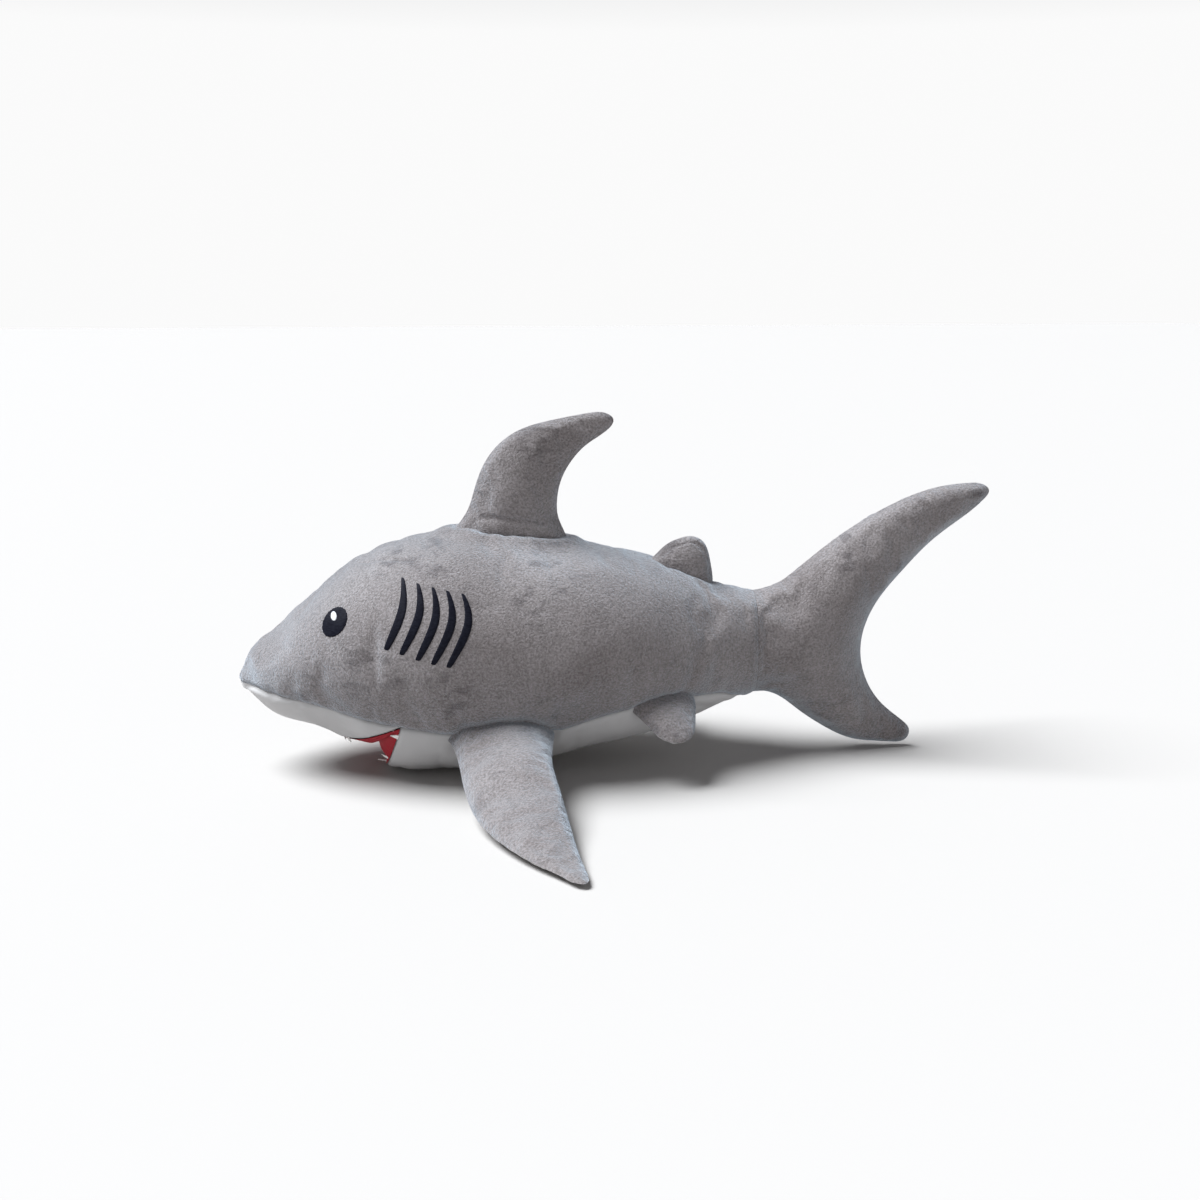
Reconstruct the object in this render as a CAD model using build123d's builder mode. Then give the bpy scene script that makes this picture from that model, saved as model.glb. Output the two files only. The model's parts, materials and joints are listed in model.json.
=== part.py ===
from build123d import *
from math import cos, radians, sin, sqrt
import os

os.makedirs("parts", exist_ok=True)

# A stuffed plush shark, lying on its belly. Millimetres, +X to the tail, +Z up,
# the shark's left side at -Y. The floor is Z = 0 and the nose is at X = -400.

# ------------------------------------------------------------------ cloth and gaps
CLOTH = 2.5       # short-pile velvet or satin, with its pile
LINING = 2.0      # mouth lining
THREAD = 0.8      # height of satin-stitch embroidery
FELT = 1.5        # teeth
GAP = 0.6         # between a fin's root and its socket in the body
FAR = 150.0       # beyond the body's half width, for cutters

# ------------------------------------------------------------------ stuffed body
# x, top, bottom, half width
BODY = [
    (-399, 107, 93, 8),
    (-391, 124, 84, 20),
    (-372, 145, 68, 40),
    (-344, 168, 55, 61),
    (-300, 206, 40, 84),
    (-250, 236, 5, 101),
    (-190, 251, -3, 112),
    (-120, 250, -3, 113),
    (-50, 241, 13, 107),
    (20, 226, 28, 92),
    (75, 206, 44, 69),
    (115, 191, 59, 53),
    (148, 183, 69, 42),
]

# The tail swings about an upright line through the narrowest part of the body.
TAIL_X, TAIL_TOP, TAIL_BOTTOM, TAIL_HALF = BODY[-1]
TAIL_MID = (TAIL_TOP + TAIL_BOTTOM) / 2
TAIL_WRAP = 62    # degrees each side of +X that the tail wraps round its knuckle

# Grey cloth above this line, white satin below it (x, z), from nose to tail.
SEAM = [(-410, 96), (-355, 93), (-290, 80), (-229, 69), (-125, 53), (-75, 56),
        (-25, 72), (75, 81), (120, 75), (152, 55)]

# The mouth is a wedge across the body: its corner, and the two lips at the middle.
MOUTH_CORNER = (-229, 69)
UPPER_LIP = (-275, 24)
LOWER_LIP = (-250, 4)
MOUTH_HALF = 95   # half width across the corners

# ------------------------------------------------------------------ fins
# Each section is (front edge, back edge, half thickness, sag below the root's plane);
# an edge is (along the root, out from the root). The first lies on the hinge line.
DORSAL = [
    ((0, 0), (108, 0), 11, 0),
    ((12, 36), (103, 33), 17, 0),
    ((28, 70), (111, 66), 15, 0),
    ((58, 98), (128, 86), 12, 0),
    ((94, 113), (142, 102), 9, 0),
    ((132, 125), (157, 113), 5, 0),
]
REAR_DORSAL = [
    ((0, 0), (66, 0), 7, 0),
    ((6, 11), (60, 11), 9, 0),
    ((14, 22), (53, 22), 7.5, 0),
    ((24, 28), (43, 30), 4, 0),
]
PECTORAL = [
    ((0, 0), (103, 0), 10, 0),
    ((7, 40), (98, 38), 14, 0),
    ((15, 100), (99, 90), 16, 6),
    ((31, 140), (102, 130), 14, 8),
    ((46, 176), (104, 166), 11, 5),
    ((66, 206), (105, 196), 8, 2),
    ((86, 234), (107, 224), 4.5, -1),
    ((96, 244), (107, 240), 3, -2),
]
PELVIC = [
    ((0, 0), (66, 0), 7, 0),
    ((4, 14), (62, 14), 11, 0),
    ((7, 27), (54, 27), 10, 0),
    ((13, 38), (47, 38), 7, 0),
    ((20, 45), (39, 45), 4, 0),
]

# Hinge lines: front end, back end, and which way the fin points from them.
DORSAL_ROOT = ((-165, 0, 261), (-57, 0, 250), (0, 0, 1))
REAR_DORSAL_ROOT = ((42, 0, 225), (104, 0, 200), (0, 0, 1))
PECTORAL_ROOT = ((-177, -102, 53), (-74, -96, 54), (0, -cos(radians(12)), -sin(radians(12))))
PELVIC_ROOT = ((13, -85, 72), (78, -62, 79), (0, -cos(radians(30)), -sin(radians(30))))

# ------------------------------------------------------------------ tail fin
# x, top, bottom, half width of the stem, up to the fork
TAIL_STEM = [
    (148, 183, 69, 42),
    (176, 188, 67, 36),
    (205, 210, 46, 31),
    (235, 214, 40, 24),
    (264, 160, 66, 11),
]
# front edge, back edge (x, z), half thickness, sag; the lower lobe has its back edge first
UPPER_LOBE = [
    ((190, 190), (242, 122), 26, 0),
    ((226, 229), (276, 160), 22, 0),
    ((268, 258), (306, 202), 17, 0),
    ((312, 283), (340, 236), 12, 0),
    ((356, 294), (373, 261), 8, 0),
    ((390, 295), (397, 280), 5, 0),
    ((401, 292), (403, 285), 3.6, 0),
]
LOWER_LOBE = [
    ((246, 122), (192, 62), 25, 0),
    ((270, 92), (222, 33), 20, 0),
    ((290, 57), (252, 17), 15, 0),
    ((310, 38), (285, 9), 10, 0),
    ((328, 18), (318, 6), 5, 0),
]

# ------------------------------------------------------------------ embroidery
EYE = (-291.5, 176)           # centre x, z
EYE_SIZE = (10.4, 16.4)       # half width, half height
EYE_TILT = -42
HIGHLIGHT = (-292, 181)
HIGHLIGHT_SIZE = (3.8, 4.6)
# each slit: top, most rearward point, bottom (x, z)
GILLS = [
    ((-222, 222), (-224, 190), (-242, 152)),
    ((-208, 218), (-207, 187), (-227, 148)),
    ((-193, 215), (-191, 183), (-211, 143)),
    ((-179, 212), (-175, 180), (-196, 139)),
    ((-164, 209), (-159, 178), (-181, 136)),
]
GILL_WIDTH = 7.5


# ================================================================== shapes
def across_x(x, z):
    """An upright plane across the body, with its own X upwards."""
    return Plane(origin=(x, 0, z), x_dir=(0, 0, 1), z_dir=(1, 0, 0))


def ovals(sections, inset):
    """A smooth stuffed shape through upright ovals, drawn in by the inset."""
    with BuildPart() as shape:
        for n, (x, top, bottom, half) in enumerate(sections):
            step = inset if n == 0 else 0
            with BuildSketch(across_x(x + step, (top + bottom) / 2)):
                Ellipse((top - bottom) / 2 - inset, half - inset)
        loft()
    return shape.part


def knuckle(x, middle, half_height, radius):
    """An oval turned about the upright line at x."""
    with BuildPart() as turned:
        with BuildSketch(Plane.XZ):
            with Locations((x, middle)):
                Ellipse(radius, half_height)
            split(bisect_by=Plane.YZ.offset(x), keep=Keep.TOP)
        revolve(axis=Axis((x, 0, 0), (0, 0, 1)))
    return turned.part


def torso_shape(inset):
    """The body from nose to tail hinge, flattened where it lies on the floor."""
    trunk = ovals(BODY, inset)
    end = knuckle(TAIL_X, TAIL_MID, TAIL_TOP - TAIL_MID - 0.5 - inset, TAIL_HALF - 0.5 - inset)
    with BuildPart() as torso:
        add(trunk)
        add(end)
        split(bisect_by=Plane.XY.offset(max(inset, 0)), keep=Keep.TOP)
    return torso.part


def blade(sections, inset, down=1):
    """A fin lofted through ovals that stand on its side plane (local X and Y)."""
    last = len(sections) - 1
    with BuildPart() as fin:
        for n, (front, back, half, sag) in enumerate(sections):
            chord = Vector(*back) - Vector(*front)
            middle = (Vector(*back) + Vector(*front)) * 0.5 + Vector(0, 0, down * sag)
            outward = chord.normalized().cross(Vector(0, 0, -1))
            if n == last:
                middle = middle - outward * inset
            at = Plane(origin=middle, x_dir=chord, z_dir=outward)
            with BuildSketch(at):
                Ellipse(chord.length / 2 - inset, half - inset)
        loft()
    return fin.part


def root_knuckle(sections, grow):
    """The fin's root, an oval turned about the hinge line (local X)."""
    front, back, half, _ = sections[0]
    middle = (front[0] + back[0]) / 2
    with BuildPart() as turned:
        with BuildSketch(Plane.XY):
            with Locations((middle, 0)):
                Ellipse((back[0] - front[0]) / 2 + 0.5 + grow, half + 0.5 + grow)
            split(bisect_by=Plane.XZ, keep=Keep.TOP)
        revolve(axis=Axis.X)
    return turned.part


def other_side(root):
    """The same hinge line on the right side of the body."""
    return tuple((x, -y, z) for x, y, z in root)


def root_frame(root):
    """The plane with its X on the hinge line and its Y out along the fin."""
    front, back, outward = (Vector(*v) for v in root)
    along = (back - front).normalized()
    side = along.cross(outward)
    return Plane(origin=front, x_dir=along, z_dir=side)


def fin_solid(sections, root, inset):
    """A whole stuffed fin, its blade and root, in its place."""
    frame = root_frame(root)
    flat = blade(sections, inset, 1 if frame.z_dir.Z < 0 else -1)
    base = root_knuckle(sections, -inset)
    with BuildPart() as fin:
        add(flat)
        add(base)
    return fin.part.moved(frame.location)


def socket(sections, root):
    """The hollow in the body that a fin's root turns in."""
    return root_knuckle(sections, GAP).moved(root_frame(root).location)


def side_prism(points, near, far):
    """A smooth-edged region of the side view, below a line, from y near to far."""
    with BuildPart() as region:
        with BuildSketch(Plane.XZ.offset(-far)):
            with BuildLine():
                top = Spline(*points)
                Polyline(top @ 1, (points[-1][0], -30), (points[0][0], -30), top @ 0)
            make_face()
        extrude(amount=far - near)
    return region.part


def wedge(grow):
    """The mouth opening, right across the body, grown by the lining."""
    cx, cz = MOUTH_CORNER
    reach = 1.9
    upper = (cx + (UPPER_LIP[0] - cx) * reach, cz + (UPPER_LIP[1] - cz) * reach)
    lower = (cx + (LOWER_LIP[0] - cx) * reach, cz + (LOWER_LIP[1] - cz) * reach)
    with BuildPart() as cut:
        with BuildSketch(Plane.XZ.offset(-FAR)):
            with BuildLine():
                Polyline((cx, cz), upper, lower, close=True)
            make_face()
            if grow:
                offset(amount=grow)
        extrude(amount=2 * FAR)
    return cut.part


def mouth_half(upper):
    """Everything on the snout's side, or the belly's side, of the mouth's middle."""
    cx, cz = MOUTH_CORNER
    mx, mz = (UPPER_LIP[0] + LOWER_LIP[0]) / 2, (UPPER_LIP[1] + LOWER_LIP[1]) / 2
    along = Vector(mx - cx, 0, mz - cz).normalized()
    normal = along.cross(Vector(0, 1, 0))
    side = Plane(origin=(cx, 0, cz), x_dir=(0, 1, 0), z_dir=normal)
    return side, Keep.BOTTOM if upper else Keep.TOP


# ================================================================== torso
outer = torso_shape(0)
inner = torso_shape(CLOTH)
white_side = side_prism(SEAM, -FAR, FAR)
mouth_void = wedge(0)
mouth_and_lining = wedge(LINING)

FINS = [
    (DORSAL, DORSAL_ROOT), (REAR_DORSAL, REAR_DORSAL_ROOT),
    (PECTORAL, PECTORAL_ROOT), (PECTORAL, other_side(PECTORAL_ROOT)),
    (PELVIC, PELVIC_ROOT), (PELVIC, other_side(PELVIC_ROOT)),
]
sockets = [socket(*fin) for fin in FINS]

with BuildPart() as skin:
    add(outer)
    add(inner, mode=Mode.SUBTRACT)
    add(mouth_and_lining, mode=Mode.SUBTRACT)
    add(sockets, mode=Mode.SUBTRACT)

with BuildPart() as body_panel_left:
    add(skin.part)
    add(white_side, mode=Mode.SUBTRACT)
    split(bisect_by=Plane.XZ, keep=Keep.TOP)

with BuildPart() as body_panel_right:
    add(skin.part)
    add(white_side, mode=Mode.SUBTRACT)
    split(bisect_by=Plane.XZ, keep=Keep.BOTTOM)

with BuildPart() as white_skin:
    add(skin.part)
    add(white_side, mode=Mode.INTERSECT)

with BuildPart() as snout_underside:
    add(white_skin.solids().sort_by(Axis.X)[0])

with BuildPart() as belly_panel:
    add(white_skin.solids().sort_by(SortBy.VOLUME)[-1])

with BuildPart() as body_filling:
    add(inner)
    add(mouth_and_lining, mode=Mode.SUBTRACT)
    add(sockets, mode=Mode.SUBTRACT)

# ================================================================== mouth
with BuildPart() as lining:
    add(outer)
    add(mouth_and_lining, mode=Mode.INTERSECT)
    add(mouth_void, mode=Mode.SUBTRACT)

linings = []
for upper in (True, False):
    plane, keep = mouth_half(upper)
    with BuildPart() as sheet:
        add(lining.part)
        split(bisect_by=plane, keep=keep)
    linings.append(sheet.part)

with BuildPart() as mouth_roof_lining:
    add(linings[0])

with BuildPart() as mouth_floor_lining:
    add(linings[1])


def lip_teeth(lip, into_gap, count, reach, length, width):
    """Felt triangles along a lip, standing across the opening."""
    corner = Vector(MOUTH_CORNER[0], 0, MOUTH_CORNER[1])
    run = Vector(lip[0], 0, lip[1]) - corner
    teeth = []
    for n in range(count):
        y = reach * (2 * n / (count - 1) - 1)
        share = sqrt(1 - (y / MOUTH_HALF) ** 2)
        at = corner + run * (share - 5 / run.length) + Vector(0, y, 0)
        along = Vector(0, 1, 0) - run * (y / MOUTH_HALF ** 2 / share)
        size = length * share
        with BuildPart() as tooth:
            face = Plane(origin=at, x_dir=along, z_dir=along.cross(Vector(*into_gap)))
            with BuildSketch(face):
                with BuildLine():
                    Polyline((-width / 2, 0), (width / 2, 0), (0, size), close=True)
                make_face()
            extrude(amount=FELT / 2, both=True)
        teeth.append(tooth.part)
    return teeth


upper_run = Vector(UPPER_LIP[0] - MOUTH_CORNER[0], 0, UPPER_LIP[1] - MOUTH_CORNER[1]).normalized()
lower_run = Vector(LOWER_LIP[0] - MOUTH_CORNER[0], 0, LOWER_LIP[1] - MOUTH_CORNER[1]).normalized()
down_into_gap = (-upper_run.Z, 0, upper_run.X)
up_into_gap = (lower_run.Z, 0, -lower_run.X)

with BuildPart() as upper_teeth:
    add(lip_teeth(UPPER_LIP, down_into_gap, 7, 66, 12, 13))

with BuildPart() as lower_teeth:
    add(lip_teeth(LOWER_LIP, up_into_gap, 6, 66, 9, 11))


# ================================================================== embroidery
def stitched(low, high, sketch_part):
    """Raised stitching on the left side of the body, where the drawn area is."""
    over = ovals(BODY, -high)
    under = ovals(BODY, -low)
    with BuildPart() as work:
        add(over)
        add(sketch_part, mode=Mode.INTERSECT)
        add(under, mode=Mode.SUBTRACT)
    return work.part


def oval_column(centre, size, tilt):
    """An oval of the side view, run out to the left side."""
    with BuildPart() as column:
        with BuildSketch(Plane.XZ.offset(20)):
            with Locations(Location((centre[0], centre[1], 0), (0, 0, tilt))):
                Ellipse(*size)
        extrude(amount=FAR)
    return column.part


def gill_columns():
    """Five crescents of the side view, pointed above and blunt below."""
    with BuildPart() as columns:
        with BuildSketch(Plane.XZ.offset(20)):
            for top, middle, bottom in GILLS:
                front = (middle[0] - GILL_WIDTH, middle[1] - 3)
                with BuildLine():
                    rear = ThreePointArc(top, middle, (bottom[0] + 2, bottom[1]))
                    foot = Line(rear @ 1, (bottom[0] - 2, bottom[1] + 1))
                    ThreePointArc(foot @ 1, front, top)
                make_face()
        extrude(amount=FAR)
    return columns.part


eye = stitched(0, THREAD, oval_column(EYE, EYE_SIZE, EYE_TILT))
highlight = stitched(THREAD, 1.5 * THREAD, oval_column(HIGHLIGHT, HIGHLIGHT_SIZE, 0))
gills = stitched(0, THREAD, gill_columns())

with BuildPart() as eye_left:
    add(eye)

with BuildPart() as eye_right:
    add(eye)
    mirror(about=Plane.XZ, mode=Mode.REPLACE)

with BuildPart() as eye_highlight_left:
    add(highlight)

with BuildPart() as eye_highlight_right:
    add(highlight)
    mirror(about=Plane.XZ, mode=Mode.REPLACE)

with BuildPart() as gill_slits_left:
    add(gills)

with BuildPart() as gill_slits_right:
    add(gills)
    mirror(about=Plane.XZ, mode=Mode.REPLACE)


# ================================================================== fins
def fin_pieces(sections, root):
    """Two cloth panels, split on the fin's side plane, and the filling."""
    whole = fin_solid(sections, root, 0)
    core = fin_solid(sections, root, CLOTH)
    pieces = []
    for keep in (Keep.TOP, Keep.BOTTOM):
        with BuildPart() as panel:
            add(whole)
            add(core, mode=Mode.SUBTRACT)
            split(bisect_by=root_frame(root), keep=keep)
        pieces.append(panel.part)
    return pieces[0], pieces[1], core


dorsal, rear_dorsal, pectoral_left, pectoral_right, pelvic_left, pelvic_right = [
    fin_pieces(*fin) for fin in FINS
]

with BuildPart() as dorsal_fin_panel_left:
    add(dorsal[0])

with BuildPart() as dorsal_fin_panel_right:
    add(dorsal[1])

with BuildPart() as dorsal_fin_filling:
    add(dorsal[2])

with BuildPart() as rear_dorsal_fin_panel_left:
    add(rear_dorsal[0])

with BuildPart() as rear_dorsal_fin_panel_right:
    add(rear_dorsal[1])

with BuildPart() as rear_dorsal_fin_filling:
    add(rear_dorsal[2])

with BuildPart() as pectoral_fin_left_top:
    add(pectoral_left[1])

with BuildPart() as pectoral_fin_left_underside:
    add(pectoral_left[0])

with BuildPart() as pectoral_fin_left_filling:
    add(pectoral_left[2])

with BuildPart() as pectoral_fin_right_top:
    add(pectoral_right[0])

with BuildPart() as pectoral_fin_right_underside:
    add(pectoral_right[1])

with BuildPart() as pectoral_fin_right_filling:
    add(pectoral_right[2])

with BuildPart() as pelvic_fin_left_top:
    add(pelvic_left[1])

with BuildPart() as pelvic_fin_left_underside:
    add(pelvic_left[0])

with BuildPart() as pelvic_fin_left_filling:
    add(pelvic_left[2])

with BuildPart() as pelvic_fin_right_top:
    add(pelvic_right[0])

with BuildPart() as pelvic_fin_right_underside:
    add(pelvic_right[1])

with BuildPart() as pelvic_fin_right_filling:
    add(pelvic_right[2])


# ================================================================== tail fin
def lobe(sections, inset):
    """One lobe of the tail fin, drawn in the side view."""
    flat = blade(sections, inset)
    return flat.moved(Plane.XZ.location)


def tail_shape(inset):
    """Stem and lobes, hollowed in front to swing round the body's knuckle."""
    stem = ovals(TAIL_STEM, inset)
    upper = lobe(UPPER_LOBE, inset)
    lower = lobe(LOWER_LOBE, inset)
    seat = knuckle(TAIL_X, TAIL_MID, TAIL_TOP - TAIL_MID + GAP + inset, TAIL_HALF + GAP + inset)
    reach = 400
    with BuildPart() as wrap:
        with BuildSketch(Plane.XY):
            with BuildLine():
                start = (TAIL_X + GAP + inset, 0)
                rise = reach * sin(radians(TAIL_WRAP)) / cos(radians(TAIL_WRAP))
                Polyline(start, (start[0] + reach, -rise), (start[0] + reach, rise), close=True)
            make_face()
        extrude(amount=reach)
    with BuildPart() as tail:
        add(stem)
        add(upper)
        add(lower)
        add(wrap.part, mode=Mode.INTERSECT)
        add(seat, mode=Mode.SUBTRACT)
    return tail.part


tail_outer = tail_shape(0)
tail_inner = tail_shape(CLOTH)

with BuildPart() as tail_fin_panel_left:
    add(tail_outer)
    add(tail_inner, mode=Mode.SUBTRACT)
    split(bisect_by=Plane.XZ, keep=Keep.TOP)

with BuildPart() as tail_fin_panel_right:
    add(tail_outer)
    add(tail_inner, mode=Mode.SUBTRACT)
    split(bisect_by=Plane.XZ, keep=Keep.BOTTOM)

with BuildPart() as tail_fin_filling:
    add(tail_inner)

# ================================================================== export
NODES = {
    "body_panel_left": body_panel_left,
    "body_panel_right": body_panel_right,
    "belly_panel": belly_panel,
    "snout_underside": snout_underside,
    "body_filling": body_filling,
    "mouth_roof_lining": mouth_roof_lining,
    "mouth_floor_lining": mouth_floor_lining,
    "upper_teeth": upper_teeth,
    "lower_teeth": lower_teeth,
    "eye_left": eye_left,
    "eye_right": eye_right,
    "eye_highlight_left": eye_highlight_left,
    "eye_highlight_right": eye_highlight_right,
    "gill_slits_left": gill_slits_left,
    "gill_slits_right": gill_slits_right,
    "dorsal_fin_panel_left": dorsal_fin_panel_left,
    "dorsal_fin_panel_right": dorsal_fin_panel_right,
    "dorsal_fin_filling": dorsal_fin_filling,
    "rear_dorsal_fin_panel_left": rear_dorsal_fin_panel_left,
    "rear_dorsal_fin_panel_right": rear_dorsal_fin_panel_right,
    "rear_dorsal_fin_filling": rear_dorsal_fin_filling,
    "pectoral_fin_left_top": pectoral_fin_left_top,
    "pectoral_fin_left_underside": pectoral_fin_left_underside,
    "pectoral_fin_left_filling": pectoral_fin_left_filling,
    "pectoral_fin_right_top": pectoral_fin_right_top,
    "pectoral_fin_right_underside": pectoral_fin_right_underside,
    "pectoral_fin_right_filling": pectoral_fin_right_filling,
    "pelvic_fin_left_top": pelvic_fin_left_top,
    "pelvic_fin_left_underside": pelvic_fin_left_underside,
    "pelvic_fin_left_filling": pelvic_fin_left_filling,
    "pelvic_fin_right_top": pelvic_fin_right_top,
    "pelvic_fin_right_underside": pelvic_fin_right_underside,
    "pelvic_fin_right_filling": pelvic_fin_right_filling,
    "tail_fin_panel_left": tail_fin_panel_left,
    "tail_fin_panel_right": tail_fin_panel_right,
    "tail_fin_filling": tail_fin_filling,
}

for name, node in NODES.items():
    node.part.label = name
    export_step(node.part, f"parts/{name}.step")
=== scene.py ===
import json
import math

import bpy
import numpy as np
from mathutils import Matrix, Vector, noise
from mathutils.bvhtree import BVHTree
from mathutils.geometry import delaunay_2d_cdt
from mathutils.kdtree import KDTree


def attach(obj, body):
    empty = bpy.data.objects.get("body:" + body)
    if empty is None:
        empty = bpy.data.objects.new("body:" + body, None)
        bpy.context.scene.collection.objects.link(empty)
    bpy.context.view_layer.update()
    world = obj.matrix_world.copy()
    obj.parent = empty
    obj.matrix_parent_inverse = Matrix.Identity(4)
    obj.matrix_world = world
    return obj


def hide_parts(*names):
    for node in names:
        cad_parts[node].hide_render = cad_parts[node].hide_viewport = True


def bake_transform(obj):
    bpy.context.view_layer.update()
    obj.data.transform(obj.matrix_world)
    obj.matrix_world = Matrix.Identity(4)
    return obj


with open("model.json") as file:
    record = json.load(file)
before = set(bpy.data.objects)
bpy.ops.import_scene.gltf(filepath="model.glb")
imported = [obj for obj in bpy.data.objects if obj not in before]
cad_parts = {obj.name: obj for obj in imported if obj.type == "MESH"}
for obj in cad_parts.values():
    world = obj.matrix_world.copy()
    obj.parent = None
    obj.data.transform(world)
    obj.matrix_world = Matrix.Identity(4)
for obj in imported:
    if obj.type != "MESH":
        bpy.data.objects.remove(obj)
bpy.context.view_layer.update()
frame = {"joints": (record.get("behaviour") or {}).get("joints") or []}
JOINTS = {j["name"]: j for j in frame["joints"]}
MM = 0.001

# A stuffed plush shark on a pale floor. Shapes are worked out in millimetres, in the
# model's own frame: nose at -X, tail at +X, left side at -Y, floor at Z = 0.

# ------------------------------------------------------------------ body sizes (mm)
# x, top, bottom, half width
BODY = [
    (-399, 107, 93, 8), (-391, 124, 84, 20), (-372, 145, 68, 40), (-344, 168, 55, 61),
    (-300, 206, 40, 84), (-250, 236, 5, 101), (-190, 251, -3, 112), (-120, 250, -3, 113),
    (-50, 241, 13, 107), (20, 226, 28, 92), (75, 206, 44, 69), (115, 191, 59, 53),
    (148, 183, 69, 42),
]
NOSE_X = -400.5
TAIL_SEAM_X = 147.5
SEAM = [(-410, 96), (-355, 93), (-290, 80), (-229, 69), (-125, 53), (-75, 56),
        (-25, 72), (75, 81), (120, 75), (152, 55)]
MOUTH_CORNER = (-229, 69)
UPPER_LIP = (-296, 38)
LOWER_LIP = (-250, 4)
CELL = 5.0        # spacing of the cloth's mesh before it is subdivided

# ------------------------------------------------------------------ fin outlines (mm)
# (along the root line, out from it), from the front of the root round to its back
DORSAL = [(-9, -14), (-1, 0), (6.5, 14), (11, 32), (19.5, 64), (32, 85), (50, 101),
          (85, 116), (123, 127), (143, 128), (150, 123), (144, 111), (125, 95), (109, 74),
          (101, 54), (99, 33), (102, 15), (109, 2), (117, -14)]
REAR_DORSAL = [(-6, -12), (0, -1), (6, 12), (17, 24), (29, 31), (42, 30), (53, 20),
               (61, 8), (67, -2), (71, -12)]
PECTORAL = [(-6, -14), (0, 2), (5, 29), (8, 65), (15, 102), (29, 140), (48, 178),
            (70, 210), (88, 234), (97, 244), (104, 245), (107, 236), (106, 213),
            (103, 171), (101, 130), (98, 87), (96, 55), (99, 27), (103, 4), (106, -14)]
# folds above the dorsal fin's root, on both sides (x, z)
DORSAL_FOLD = [(-146, 271), (-111, 267), (-75, 263)]
BACK_FOLD = [(-150, 262), (-124, 257), (-98, 253)]
REAR_DORSAL_RIDGE = [(45, 225), (54, 232), (68, 237.5), (81, 238.5), (91, 232), (96, 220)]
HEAD_DART = [(-275, -12, 222), (-264, -23, 226), (-251, -32, 230), (-236, -41, 232), (-216, -52, 232)]
PELVIC = [(-3, -10), (0, 0), (4, 13), (8, 28), (14, 39), (24, 46), (36, 46), (46, 40),
          (53, 30), (61, 15), (68, 0), (70, -10)]
# how high the pectoral fin's front and back edges lie, for each distance out
PECTORAL_FRONT = [(-14, 56), (0, 53), (29, 43), (65, 30), (102, 17), (140, 9), (186, 6), (250, 5)]
PECTORAL_BACK = [(-14, 55), (0, 54), (27, 52), (55, 47), (87, 37), (130, 24), (171, 14),
                 (213, 7), (250, 5)]
DROOP = {"pectoral": 12, "pelvic": 30}
# the tail fin's outline is drawn in the side view (x, z)
TAIL = [(143, 182), (172, 189), (196, 206), (246, 245), (298, 275), (350, 293),
        (378, 296), (396, 294), (403, 288), (398, 279), (364, 251), (338, 230), (313, 203),
        (288, 172), (274, 144), (269, 115), (280, 72), (294, 52), (322, 28), (329, 19),
        (326, 8), (305, 5), (264, 10), (227, 28), (200, 47), (172, 66), (143, 70)]


TAIL_FULLNESS = [(143, 165, 215, 260, 400), (0.30, 0.42, 0.55, 0.62, 0.62)]


# ================================================================== small tools
class Smooth:
    """A natural cubic curve through the values at the knots."""

    def __init__(self, knots, values):
        self.knots, self.values = np.array(knots, float), np.array(values, float)
        count, gap = len(knots), np.diff(self.knots)
        slope = np.diff(self.values) / gap
        matrix, right = np.eye(count), np.zeros(count)
        for i in range(1, count - 1):
            matrix[i, i - 1 : i + 2] = gap[i - 1], 2 * (gap[i - 1] + gap[i]), gap[i]
            right[i] = 6 * (slope[i] - slope[i - 1])
        self.bend = np.linalg.solve(matrix, right)

    def __call__(self, t):
        t = np.asarray(t, float)
        i = np.clip(np.searchsorted(self.knots, t) - 1, 0, len(self.knots) - 2)
        gap = self.knots[i + 1] - self.knots[i]
        a = (self.knots[i + 1] - t) / gap
        b = 1 - a
        curve = (a**3 - a) * self.bend[i] + (b**3 - b) * self.bend[i + 1]
        return a * self.values[i] + b * self.values[i + 1] + curve * gap**2 / 6


def mesh_object(name, points, faces):
    """A smooth-shaded mesh from points in millimetres."""
    mesh = bpy.data.meshes.new(name)
    mesh.from_pydata((np.asarray(points, float) * MM).tolist(), [], [list(f) for f in faces])
    mesh.validate()
    mesh.polygons.foreach_set("use_smooth", [True] * len(mesh.polygons))
    piece = bpy.data.objects.new(name, mesh)
    bpy.context.scene.collection.objects.link(piece)
    return piece


def grid_faces(rows, columns):
    """Quads over a grid of points, numbered row by row."""
    return [
        (r * columns + c, r * columns + c + 1, (r + 1) * columns + c + 1, (r + 1) * columns + c)
        for r in range(rows - 1)
        for c in range(columns - 1)
    ]


def grid_object(name, points):
    """A mesh over points[row, column], with degenerate corners merged."""
    rows, columns, _ = points.shape
    piece = mesh_object(name, points.reshape(-1, 3), grid_faces(rows, columns))
    merge(piece, 0.2)
    return piece


def merge(piece, distance):
    import bmesh
    bm = bmesh.new()
    bm.from_mesh(piece.data)
    bmesh.ops.remove_doubles(bm, verts=bm.verts, dist=distance * MM)
    bmesh.ops.dissolve_degenerate(bm, dist=0.01 * MM, edges=bm.edges)
    bm.to_mesh(piece.data)
    bm.free()


def coords(piece):
    """The mesh's points in millimetres."""
    out = np.empty(len(piece.data.vertices) * 3)
    piece.data.vertices.foreach_get("co", out)
    return out.reshape(-1, 3) / MM


def set_coords(piece, points):
    piece.data.vertices.foreach_set("co", (np.asarray(points) * MM).ravel())
    piece.data.update()


def normals(piece):
    piece.data.update()
    out = np.empty(len(piece.data.vertices) * 3)
    piece.data.vertices.foreach_get("normal", out)
    return out.reshape(-1, 3)


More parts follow.
